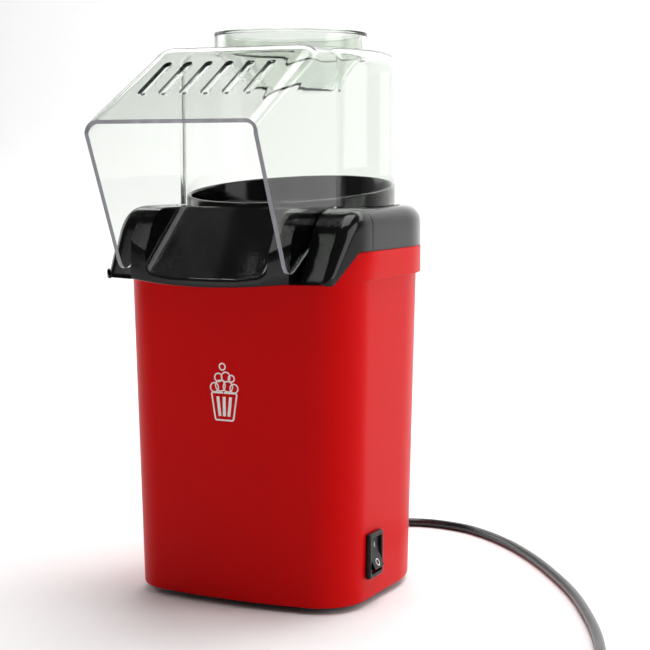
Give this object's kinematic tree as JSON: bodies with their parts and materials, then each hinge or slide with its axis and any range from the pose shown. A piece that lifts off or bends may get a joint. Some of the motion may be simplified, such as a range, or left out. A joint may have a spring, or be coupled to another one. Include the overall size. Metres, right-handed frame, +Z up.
{
  "type": "popcorn maker",
  "caption": "Hot-air popcorn maker: red body, black chute housing, clear hood with a measuring cup, rocker switch and mains cord.",
  "frame": {"origin": "middle of the appliance's footprint box on the table, cord left out", "axes": "+Z up, the chute and the mouth of the hood face -Y, the switch is on the +X side"},
  "size_m": [0.2567, 0.3303, 0.263],
  "materials": {
    "red_body": "satin red moulded plastic",
    "black_housing": "gloss black moulded plastic",
    "black_base": "matt black moulded plastic",
    "rubber": "matt",
    "zinc_steel": "zinc plated",
    "chamber_aluminium": "pressed, satin",
    "gasket_fibre": "pressed fibre",
    "galvanised_steel": "galvanised sheet",
    "mica": "mica sheet",
    "nichrome": "oxidised wire",
    "ceramic": "unglazed",
    "ferrite": "sintered",
    "white_nylon": "moulded",
    "copper_winding": "enamelled wire",
    "black_nylon": "moulded",
    "circuit_board": "solder resist",
    "switch_black": "moulded nylon",
    "brass": "stamped",
    "cord_pvc": "smooth PVC",
    "clear_polycarbonate": "clear moulded",
    "tie_strap": "woven",
    "brass_nickel": "nickel plated",
    "print_white": "pad printed ink"
  },
  "bodies": {
    "housing": {"body_shell": "red_body", "upper_housing": "black_housing", "base_plate": "black_base", "rubber_feet": "rubber", "base_screws": "zinc_steel", "housing_screws": "zinc_steel", "popping_chamber": "chamber_aluminium", "chamber_gasket": "gasket_fibre", "heater_can": "galvanised_steel", "can_screws": "zinc_steel", "mica_frame": "mica", "heating_element": "nichrome", "thermostat": "ceramic", "thermal_fuse": "zinc_steel", "motor_bracket": "galvanised_steel", "bracket_screws": "zinc_steel", "motor_case": "zinc_steel", "motor_magnets": "ferrite", "motor_end_cap": "white_nylon", "rectifier_board": "circuit_board", "rectifier_diodes": "ferrite", "switch_case": "switch_black", "switch_terminals": "brass", "strain_relief": "cord_pvc", "cord_clamp": "black_base", "power_cord": "cord_pvc", "cord_coil": "cord_pvc", "cord_tail": "cord_pvc", "cord_tie": "tie_strap", "plug_body": "cord_pvc", "plug_pins": "brass_nickel"},
    "fan": {"motor_shaft": "zinc_steel", "motor_rotor": "copper_winding", "fan_impeller": "black_nylon"},
    "rocker": {"switch_rocker": "switch_black"},
    "hood": {"clear_hood": "clear_polycarbonate"},
    "cup": {"measuring_cup": "clear_polycarbonate"}
  },
  "joints": [
    {"name": "fan_spin", "type": "hinge", "parent": "housing", "child": "fan", "pos_m": [0, 0.0245, 0.08], "axis": [0, 0, 1], "continuous": true},
    {"name": "rocker_tilt", "type": "hinge", "parent": "housing", "child": "rocker", "pos_m": [0.05566, -0.006, 0.0237], "axis": [0, 1, 0], "range_deg": [0, 24]},
    {"name": "hood_lift", "type": "slide", "parent": "housing", "child": "hood", "axis": [0, 0, 1], "range_m": [0, 0.06]},
    {"name": "cup_lift", "type": "slide", "parent": "hood", "child": "cup", "axis": [0, 0, 1], "range_m": [0, 0.04]}
  ]
}
